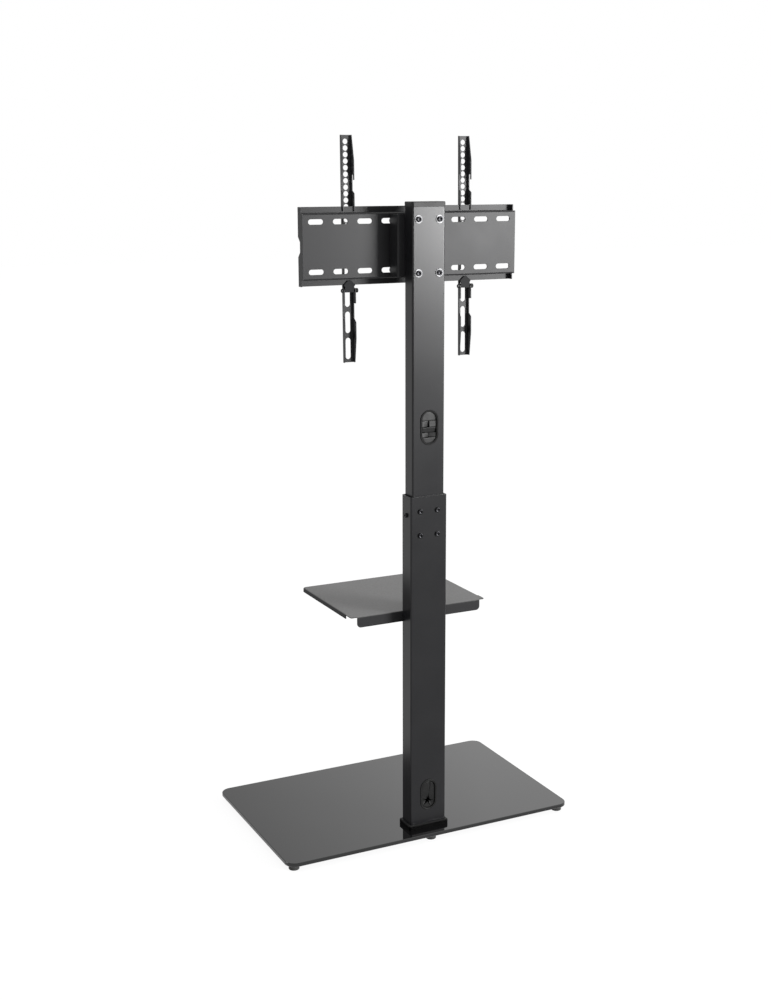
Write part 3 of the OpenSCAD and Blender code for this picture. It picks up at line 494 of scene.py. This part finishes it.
def socket_screw(name, axis, shank, length, head, rise, key, pitch):
    """A socket screw with its head's seat at zero and its head along axis. The shank,
    the head and the key are given by their half width, rise is the head's height."""
    thread_end = max(-length * 0.4, -LONGEST_PLAIN)
    steps = [(-length, shank * 0.7), (-length + 0.3 * shank, shank)]
    steps += threaded(-length + 0.35 * shank, thread_end, shank, pitch, 0.55 * pitch)
    steps += [(-0.1 * MM, shank), (0.0, head - 0.15 * MM), (0.2 * MM, head),
              (rise * 0.62, head), (rise * 0.82, head * 0.965), (rise * 0.95, head * 0.88),
              (rise, head * 0.78), (rise, key * 1.3), (rise - 0.25 * MM, hexagon(key)),
              (rise * 0.35, hexagon(key)), (rise * 0.25, key * 0.4)]
    return turned(name, steps, SCREW_SIDES, axis)


def corners(node, along, across, inset):
    """The four centres of a node's fasteners, inset from the corners of its box."""
    low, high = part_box(node)
    return [(a, b) for a in (low[along] + inset, high[along] - inset)
            for b in (low[across] + inset, high[across] - inset)]


LONGEST_PLAIN = 14 * MM
M6, M6_HEAD, M6_RISE, M6_KEY, M6_PITCH = 3 * MM, 5.2 * MM, 3.3 * MM, 2.5 * MM, MM
M5, M5_KEY, M5_PITCH = 2.5 * MM, 2.1 * MM, 0.8 * MM
BACK, FRONT, SIDE = Vector((0, 1, 0)), Vector((0, -1, 0)), Vector((1, 0, 0))
low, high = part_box("height_screws")
height_screws = spread(
    "height_clamp_screws",
    socket_screw("screw", BACK, M6, high.y - M6_RISE - low.y, M6_HEAD, M6_RISE, M6_KEY, M6_PITCH),
    [(x, high.y - M6_RISE, z) for x, z in corners("height_screws", 0, 2, M6_HEAD)],
    BACK, oxide, seed=11, largest_turn=pi)
seat(height_screws, "height_screws", "dark_steel")

low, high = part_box("side_screw")
side_rise, side_head = 3.6 * MM, (high.z - low.z) / 2
side_screw = spread(
    "side_guide_screw",
    socket_screw("screw", SIDE, M5, high.x - side_rise - low.x, side_head, side_rise, M5_KEY,
                 M5_PITCH),
    [(high.x - side_rise, (low.y + high.y) / 2, (low.z + high.z) / 2)],
    SIDE, oxide, seed=12, largest_turn=pi)
seat(side_screw, "side_screw", "dark_steel")


# Lower cable outlet: a moulded oval ring that snaps into the rear wall, and a
# rubber sheet behind it, cut into five flaps that cables have pushed in.
def stadium(width, height, inset, count):
    """Points round an upright oval with two half circles, inset from its size."""
    radius, half = width / 2 - inset, (height - width) / 2
    points = []
    for i in range(count):
        angle = 2 * pi * i / count
        x, z = radius * cos(angle), radius * sin(angle)
        points.append((x, z + (half if sin(angle) >= 0 else -half)))
    return points


def outlet_ring(name, node, slot):
    """The ring of an outlet, from the node's box: rounded face, neck and wall. A
    profile point is an inset from the oval and a depth."""
    low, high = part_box(node)
    width, height = high.x - low.x, high.z - low.z
    centre = Vector(((low.x + high.x) / 2, 0, (low.z + high.z) / 2))
    face, back = high.y, low.y
    wall = face - OUTLET_PROUD
    profile = [(0.0, wall), (0.0, wall + 0.7 * MM), (0.35 * MM, face - 0.3 * MM),
               (0.8 * MM, face), (1.5 * MM, face), (2.0 * MM, face - 0.5 * MM),
               (2.6 * MM, face - 0.7 * MM), (3.1 * MM, face - 0.5 * MM),
               (3.4 * MM, face - 0.3 * MM), (RING_BORE, face - 0.9 * MM),
               (RING_BORE, back), (RING_NECK, back), (RING_NECK, wall)]
    outlines = []
    for inset, y in profile:
        outlines.append([(centre.x + x, y, centre.z + z)
                         for x, z in stadium(width, height, inset, RING_POINTS)])
    ring = loft(name, outlines, loop=True)
    ring.data.materials.append(deep_plastic)
    seat(ring, node, slot)
    return centre, width, height, wall


def sheet_flaps(name, flaps, node, finish):
    """Thin flaps, each given as a grid of points, with a real thickness."""
    shell = bmesh.new()
    for grid in flaps:
        rows = [[shell.verts.new(point) for point in row] for row in grid]
        for near, far in zip(rows, rows[1:]):
            for i in range(len(near) - 1):
                shell.faces.new((near[i], near[i + 1], far[i + 1], far[i]))
    piece = finished_mesh(name, shell)
    thick = piece.modifiers.new("thickness", "SOLIDIFY")
    thick.thickness, thick.offset = FLAP_T, 0.0
    piece.data.materials.append(finish)
    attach(piece, body_of(nodes[node])[0])
    return piece


def half_width(z, width, height, inset):
    """Half the oval's width at height z."""
    radius, half = width / 2 - inset, (height - width) / 2
    over = max(0.0, abs(z) - half)
    return sqrt(max(0.0, radius * radius - over * over))


def reach_at(angle, z, width, height, inset):
    """The distance from (0, z) to the oval's wall in a direction, by halving."""
    near, far = 0.0, height
    for _ in range(HALVINGS):
        middle = (near + far) / 2
        x, up = middle * cos(angle), z + middle * sin(angle)
        inside = abs(up) < height / 2 - inset and abs(x) < half_width(up, width, height, inset)
        near, far = (middle, far) if inside else (near, middle)
    return near


OUTLET_PROUD, FLAP_T, FLAP_IN, OPEN_INSET = 1.6 * MM, 0.8 * MM, 2.0 * MM, 3.8 * MM
RING_BORE, RING_NECK, RING_POINTS, HALVINGS = 3.9 * MM, 2.6 * MM, 72, 30
DEEP, DEEP_PALE = (0.012, 0.012, 0.012), (0.018, 0.018, 0.018)
deep_plastic = finish_of(
    "deep black plastic", DEEP, DEEP_PALE, glossiest=0.42, dullest=0.52, grain_size=0.0007,
    patch_size=0.03, relief=0.00002, dust_and_sheen_amount=0.02, edge=0.0008, settings=DULL)
centre, width, height, wall = outlet_ring(
    "lower_outlet_ring", "lower_cable_outlet", "black_plastic")
# The tear's centre, its radius there, how far out it opens, and half its width
star_z, tear_tip, tear_reach, tear_gap = -14 * MM, 4.5 * MM, 14 * MM, 2.2 * MM
flap_rows, flap_steps, sag_start, sag_span = 7, 12, 0.15, 0.7
cuts = [radians(a) for a in (20, 95, 185, 250, 318)]
pushed_in = [4 * MM, 3 * MM, 6 * MM, 2 * MM, 7 * MM]
flaps = []
for start, end, sink in zip(cuts, cuts[1:] + [cuts[0] + 2 * pi], pushed_in):
    grid = []
    for i in range(flap_rows + 1):
        share = i / flap_rows
        row = []
        for j in range(flap_steps + 1):
            angle = start + (end - start) * j / flap_steps
            reach = reach_at(angle, star_z, width, height, OPEN_INSET)
            r = tear_tip + (reach - tear_tip) * share
            torn = max(0.0, 1 - r / tear_reach)
            narrow = asin(min(1.0, tear_gap * torn / r))
            angle = start + narrow + (end - start - 2 * narrow) * j / flap_steps
            sag = sin(pi * (sag_start + sag_span * j / flap_steps))
            y = wall - FLAP_IN - sink * torn * sag
            row.append((centre.x + r * cos(angle), y, centre.z + star_z + r * sin(angle)))
        grid.append(row)
    flaps.append(grid)
sheet_flaps("lower_outlet_flaps", flaps, "lower_cable_outlet", deep_plastic)


# Shelf: 1.6 mm sheet with folded lips and a rear flange, powder coated. Its dust amount is
# set high, which paints a pale sheen on its top for reflected light. Two M6 socket screws
# hold it to steel rivet nuts in the column's front wall.
shelf_coat = finish_of(
    "shelf powder coat", TUBE, TUBE_PATCH, glossiest=0.58, dullest=0.66, grain_size=0.0016,
    patch_size=0.2, relief=0.000004, worn=COAT_WORN, dust_and_sheen_amount=0.56, edge=0.0006, settings=LOW_SHINE)
dress("shelf", shelf_coat)
dress("shelf_rivet_nuts", zinc)
low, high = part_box("shelf_screws")
shelf_screws = spread(
    "shelf_socket_screws",
    socket_screw("screw", FRONT, M6, high.y - low.y - M6_RISE, M6_HEAD, M6_RISE, M6_KEY, M6_PITCH),
    [(x, low.y + M6_RISE, (low.z + high.z) / 2) for x in (low.x + M6_HEAD, high.x - M6_HEAD)],
    FRONT, oxide, seed=13, largest_turn=pi)
seat(shelf_screws, "shelf_screws", "dark_steel")


# Upper column: a 70 x 33 mm tube with two long slots in its rear wall, closed by a
# plastic shoe below and a pushed-in cap above.
PLASTIC, PLASTIC_PALE = (0.01, 0.01, 0.01), (0.016, 0.016, 0.016)
moulded = finish_of(
    "moulded plastic", PLASTIC, PLASTIC_PALE, glossiest=0.36, dullest=0.44, grain_size=0.0007,
    patch_size=0.03, relief=0.00003, dust_and_sheen_amount=0.03, edge=0.0006, settings=MATT)
dress("upper_column", satin_coat)
dress("slider_plug", nylon)
dress("end_cap", moulded)


# Upper cable outlet: the same ring, larger, over a rubber sheet with straight cuts:
# a dome above and below, two pairs of flaps, and a wide flap between them.
SHEET_BLACK, SHEET_PALE = (0.024, 0.024, 0.024), (0.036, 0.036, 0.036)
flap_rubber = finish_of(
    "thin rubber sheet", SHEET_BLACK, SHEET_PALE, glossiest=0.34, dullest=0.5, grain_size=0.001,
    patch_size=0.01, relief=0.00004, settings=LOW_SHINE)
centre, width, height, wall = outlet_ring(
    "upper_outlet_ring", "upper_cable_outlet", "black_plastic")
slit, curl = 0.5 * MM, 1.5
pair_rows, hanging_rows, half_steps = 8, 6, 6


def band_flap(side, low_z, high_z, sink_low, sink_high):
    """One flap of a pair, hinged at the oval's side and pushed in at the slit."""
    grid = []
    for i in range(pair_rows + 1):
        z = low_z + (high_z - low_z) * i / pair_rows
        hinge = half_width(z, width, height, OPEN_INSET)
        row = []
        for j in range(pair_rows + 1):
            share = j / pair_rows
            x = side * (hinge + (slit - hinge) * share)
            sink = sink_low + (sink_high - sink_low) * i / pair_rows
            row.append((centre.x + x, wall - FLAP_IN - sink * share ** curl, centre.z + z))
        grid.append(row)
    return grid


def dome(low_z, high_z, sink):
    """A flap across the whole width, hinged at the oval's end."""
    grid = []
    for i in range(pair_rows + 1):
        z = low_z + (high_z - low_z) * i / pair_rows
        hinge = half_width(z, width, height, OPEN_INSET)
        y = wall - FLAP_IN - sink * (1 - i / pair_rows) ** curl
        grid.append([(centre.x + hinge * (j / half_steps - 1), y, centre.z + z)
                     for j in range(2 * half_steps + 1)])
    return grid


def hanging_flap(hinge_z, free_z, sink):
    """A flap hinged along its top edge and pushed in below."""
    grid = []
    for i in range(hanging_rows + 1):
        z = hinge_z + (free_z - hinge_z) * i / hanging_rows
        hinge = half_width(z, width, height, OPEN_INSET) - slit * i / hanging_rows
        y = wall - FLAP_IN - sink * i / hanging_rows
        grid.append([(centre.x + hinge * (j / half_steps - 1), y, centre.z + z)
                     for j in range(2 * half_steps + 1)])
    return grid


# Heights of the cuts from the oval's centre, and how deep each flap is pushed in
end_z, end_gap = height / 2 - OPEN_INSET, 0.02 * MM
top_dome_z, low_dome_z, wide_flap_z = 13 * MM, -20.2 * MM, -10.4 * MM
top_pair, low_pair = (0.5 * MM, 12.6 * MM), (-19.8 * MM, -10.8 * MM)
upper_flaps = [
    dome(top_dome_z, end_z - end_gap, 0.5 * MM),
    band_flap(1, *top_pair, 4.5 * MM, 2.5 * MM),
    band_flap(-1, *top_pair, 0.4 * MM, 1.2 * MM),
    band_flap(1, *low_pair, 4.2 * MM, 2.8 * MM),
    band_flap(-1, *low_pair, 6 * MM, 7.5 * MM),
    dome(low_dome_z, end_gap - end_z, -MM)]
wide_flap = hanging_flap(0, wide_flap_z, 2 * MM)
sheet_flaps("upper_outlet_flaps", upper_flaps, "upper_cable_outlet", flap_rubber)
# The wide flap is the same rubber sheet but gets the darker moulded finish: painted shade
sheet_flaps("upper_outlet_band", [wide_flap], "upper_cable_outlet", moulded)


# Bracket: a folded steel channel between the column and the plate. Four M6 socket
# screws with zinc plated washers pass through the column; their nuts are inside.
COAT, COAT_PATCH = (0.010, 0.010, 0.011), (0.014, 0.014, 0.015)
matt_coat = finish_of(
    "matt powder coat", COAT, COAT_PATCH, glossiest=0.36, dullest=0.44, grain_size=0.0016,
    patch_size=0.05, relief=0.000012, worn=COAT_WORN, dust_and_sheen_amount=0.03, edge=0.0008, settings=MATT)
dress("mount_bracket", matt_coat)
WASHER, WASHER_DULL = (0.22, 0.22, 0.225), (0.16, 0.16, 0.165)
dull_zinc = metal_finish("dull zinc plate", WASHER, WASHER_DULL, 0.45, 0.6)
dress("bolt_washers", dull_zinc)


def hex_nut(name, axis, bore, flat, thick, pitch):
    """A chamfered nut that stands on zero and grows along axis."""
    mouth, face, chamfer, deep = bore + 0.4 * MM, flat * 0.95, 0.3 * MM, 0.3 * MM
    steps = [(0.0, mouth), (0.0, face), (chamfer, hexagon(flat, 0.97)),
             (thick - chamfer, hexagon(flat, 0.97)), (thick, face), (thick, mouth)]
    inside = threaded(chamfer, thick - chamfer, bore + deep, pitch, deep)
    return turned(name, steps + inside[::-1], SCREW_SIDES, axis, loop=True)


M6_FLAT = 5 * MM
low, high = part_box("column_bolts")
column_bolts = spread(
    "column_socket_bolts",
    socket_screw("bolt", BACK, M6, high.y - M6_RISE - low.y, M6_HEAD, M6_RISE, M6_KEY, M6_PITCH),
    [(x, high.y - M6_RISE, z) for x, z in corners("column_bolts", 0, 2, M6_HEAD)],
    BACK, oxide, seed=21, largest_turn=pi)
seat(column_bolts, "column_bolts", "dark_steel")
bolt_centres = corners("column_bolts", 0, 2, M6_HEAD)
low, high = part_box("column_nuts")
column_nuts = spread(
    "column_hex_nuts", hex_nut("nut", FRONT, M6, M6_FLAT, high.y - low.y, M6_PITCH),
    [(x, high.y, z) for x, z in bolt_centres], FRONT, zinc, seed=22)
seat(column_nuts, "column_nuts", "zinc_steel")


# Mounting plate: pressed from 2 mm sheet, with two rails for the arms' hooks and two
# rows of slots. Four wide-headed M6 screws hold it to the bracket's flanges.
plate_coat = finish_of(
    "plate powder coat", COAT, COAT_PATCH, glossiest=0.37, dullest=0.42, grain_size=0.0016,
    patch_size=0.08, relief=0.000012, worn=COAT_WORN, dust_and_sheen_amount=0.03, edge=0.0008,
    settings=PLATE_SHINE)
dress("mount_plate", plate_coat)
wide_head = 6.76 * MM
screw_centres = corners("plate_screws", 0, 2, wide_head)
low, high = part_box("plate_screws")
plate_screws = spread(
    "plate_wide_screws",
    socket_screw("screw", FRONT, M6, high.y - low.y - M6_RISE, wide_head, M6_RISE, M6_KEY,
                 M6_PITCH),
    [(x, low.y + M6_RISE, z) for x, z in screw_centres],
    FRONT, oxide, seed=23, largest_turn=pi)
seat(plate_screws, "plate_screws", "dark_steel")
low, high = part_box("plate_nuts")
plate_nuts = spread(
    "plate_hex_nuts", hex_nut("nut", BACK, M6, M6_FLAT, high.y - low.y, M6_PITCH),
    [(x, low.y, z) for x, z in screw_centres], BACK, zinc, seed=24)
seat(plate_nuts, "plate_nuts", "zinc_steel")


# Arms: folded channels with hooks for the upper rail, notches for the lower rail,
# a row of round holes and four slots. The coat is rubbed where they hang.
ARM_WORN = (0.09, 0.09, 0.092)
arm_coat = finish_of(
    "arm powder coat", COAT, COAT_PATCH, glossiest=0.32, dullest=0.42, grain_size=0.0014,
    patch_size=0.03, relief=0.000012, worn=ARM_WORN, dust_and_sheen_amount=0.03, edge=0.0008, settings=MATT)
for side in ("left", "right"):
    dress(f"{side}_arm", arm_coat)


# Latches: small folded plates that turn on the lock screws and close behind the
# lower rail, in dull black powder coat.
dull_coat = finish_of(
    "dull powder coat", COAT, COAT_PATCH, glossiest=0.44, dullest=0.52, grain_size=0.0014,
    patch_size=0.02, relief=0.000012, worn=COAT_WORN, edge=0.0006, settings=DULL)
for side in ("left", "right"):
    dress(f"{side}_latch", dull_coat)


# Lock screws: M4 thumb screws with a knurled plastic head, through both flanges of an
# arm, with a black zinc plated nut on the far side.
knob_r, knob_len, knob_sides, flutes = 4.4 * MM, 6 * MM, 84, 14
M4, M4_FLAT, M4_PITCH = 2 * MM, 3.33 * MM, 0.7 * MM
NUT_BLACK, NUT_PALE = (0.02, 0.02, 0.02), (0.035, 0.035, 0.035)
black_zinc = finish_of(
    "black zinc plating", NUT_BLACK, NUT_PALE, glossiest=0.3, dullest=0.42, grain_size=0.0006,
    patch_size=0.004, relief=0.000006, metal=1.0)


def fluted(radius, deep):
    """The radius of a knob with rounded flutes."""
    def at(angle):
        return radius - deep * (0.5 + 0.5 * cos(flutes * angle)) ** 3
    return at


for side in ("left", "right"):
    low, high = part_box(f"{side}_lock_screw")
    head = [(0.0, 1.4 * MM), (0.0, knob_r - 1.4 * MM), (0.25 * MM, knob_r - 0.8 * MM),
            (0.7 * MM, fluted(knob_r - 0.2 * MM, 0.35 * MM)),
            (1.1 * MM, fluted(knob_r, 0.55 * MM)),
            (knob_len - 0.8 * MM, fluted(knob_r, 0.55 * MM)),
            (knob_len - 0.3 * MM, fluted(knob_r - 0.3 * MM, 0.35 * MM)),
            (knob_len, knob_r - 1.2 * MM), (knob_len + 0.1 * MM, M4)]
    full = high.x - low.x
    shank = threaded(knob_len + MM, full - 0.4 * MM, M4, M4_PITCH, 0.35 * MM)
    shank.append((full, M4 * 0.7))
    centre_y, centre_z = (low.y + high.y) / 2, (low.z + high.z) / 2
    knob = spread(f"{side}_thumb_screw", turned("knob", head + shank, knob_sides, SIDE),
                  [(low.x, centre_y, centre_z)], SIDE, moulded, seed=31, largest_turn=0.3)
    seat(knob, f"{side}_lock_screw", "black_plastic")
    low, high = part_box(f"{side}_lock_nut")
    nut = spread(f"{side}_hex_nut",
                 hex_nut("nut", SIDE, M4, M4_FLAT, high.x - low.x, M4_PITCH),
                 [(low.x, centre_y, centre_z)], SIDE, black_zinc, seed=32)
    seat(nut, f"{side}_lock_nut", "zinc_steel")


# Studio: a pale floor that keeps the stand's shadow, and a white world. Mirrored rays
# see both darker, the world on one side only. One soft light is wide, one is weak.
def seen_directly(tree):
    """One for rays from the camera, and for mirrored and transmitted rays."""
    paths = tree.nodes.new("ShaderNodeLightPath")
    seen = math_node(
        tree, "MAXIMUM", paths.outputs["Is Camera Ray"], paths.outputs["Is Glossy Ray"])
    return math_node(tree, "MAXIMUM", seen, paths.outputs["Is Transmission Ray"])


world = bpy.data.worlds.new("studio")
world.use_nodes = True
bpy.context.scene.world = world
sky = world.node_tree
ambient, white_part, floor_glow, mirrored_glow = 0.8, 0.85, 1.06, 0.78
bright_from, dim_from, dim_side, bright_side = -0.46, -0.28, 0.68, 1.32
paths = sky.nodes.new("ShaderNodeLightPath")
aim = sky.nodes.new("ShaderNodeSeparateXYZ")
sky.links.new(sky.nodes.new("ShaderNodeTexCoord").outputs["Generated"], aim.inputs["Vector"])
mirrored = remap(sky, aim.outputs["X"], dim_from, bright_from, dim_side, bright_side)
strength = remap(sky, paths.outputs["Is Glossy Ray"], 0.0, 1.0, ambient, mirrored)
strength = remap(sky, paths.outputs["Is Transmission Ray"], 0.0, 1.0, strength, 1.0)
strength = remap(sky, paths.outputs["Is Camera Ray"], 0.0, 1.0, strength, 1.0)
sky.links.new(strength, sky.nodes["Background"].inputs["Strength"])
sky.nodes["Background"].inputs["Color"].default_value = (1.0, 1.0, 1.0, 1.0)

floor_half, floor_grey, floor_rough = 20.0, 0.86, 0.9
floor_finish, tree, shader = new_finish("studio floor")
shader.inputs["Base Color"].default_value = (floor_grey, floor_grey, floor_grey, 1.0)
shader.inputs["Roughness"].default_value = floor_rough
glow = tree.nodes.new("ShaderNodeEmission")
blend = tree.nodes.new("ShaderNodeMixShader")
is_mirrored = tree.nodes.new("ShaderNodeLightPath").outputs["Is Glossy Ray"]
glow_strength = remap(tree, is_mirrored, 0.0, 1.0, floor_glow, mirrored_glow)
tree.links.new(glow_strength, glow.inputs["Strength"])
glow_part = remap(tree, is_mirrored, 0.0, 1.0, white_part, 1.0)
tree.links.new(math_node(tree, "MULTIPLY", seen_directly(tree), glow_part), blend.inputs["Fac"])
tree.links.new(shader.outputs["BSDF"], blend.inputs[1])
tree.links.new(glow.outputs["Emission"], blend.inputs[2])
tree.links.new(blend.outputs["Shader"], tree.nodes["Material Output"].inputs["Surface"])
ground = bmesh.new()
bmesh.ops.create_grid(ground, x_segments=1, y_segments=1, size=floor_half)
floor = finished_mesh("studio_floor", ground)
floor.data.materials.append(floor_finish)


def soft_light(name, place, target, width, height, power):
    """A soft box at place, turned to target."""
    lamp = bpy.data.lights.new(name, "AREA")
    lamp.shape = "RECTANGLE"
    lamp.size, lamp.size_y, lamp.energy = width, height, power
    box = bpy.data.objects.new(name, lamp)
    box.location = place
    box.rotation_euler = (Vector(target) - Vector(place)).to_track_quat("-Z", "Y").to_euler()
    bpy.context.scene.collection.objects.link(box)


column_top = Vector((0.0, 0.15, 1.25))
soft_light("key", (-2.5, 3.3, 1.3), column_top, width=1.3, height=0.5, power=208.0)
soft_light("fill", (2.6, -1.6, 2.6), column_top, width=1.6, height=1.6, power=14.0)

# The photo's camera: its place, its three turns and its lens
camera_place, focal_mm, sensor_mm = (1.2946, 2.6136, 1.3351), 51.83, 36.0
yaw, pitch, roll = radians(26.1175), radians(12.6528), radians(-0.2144)
ahead = Vector((-sin(yaw) * cos(pitch), -cos(yaw) * cos(pitch), -sin(pitch)))
level_right = ahead.cross(UP).normalized()
level_up = level_right.cross(ahead)
right = cos(roll) * level_right + sin(roll) * level_up
up = cos(roll) * level_up - sin(roll) * level_right
lens = bpy.data.cameras.new("camera")
lens.lens, lens.sensor_width = focal_mm, sensor_mm
camera = bpy.data.objects.new("camera", lens)
turned_to = Matrix((right, up, -ahead)).transposed().to_4x4()
camera.matrix_world = Matrix.Translation(camera_place) @ turned_to
bpy.context.scene.collection.objects.link(camera)
bpy.context.scene.camera = camera
bpy.context.scene.view_settings.view_transform = "Standard"
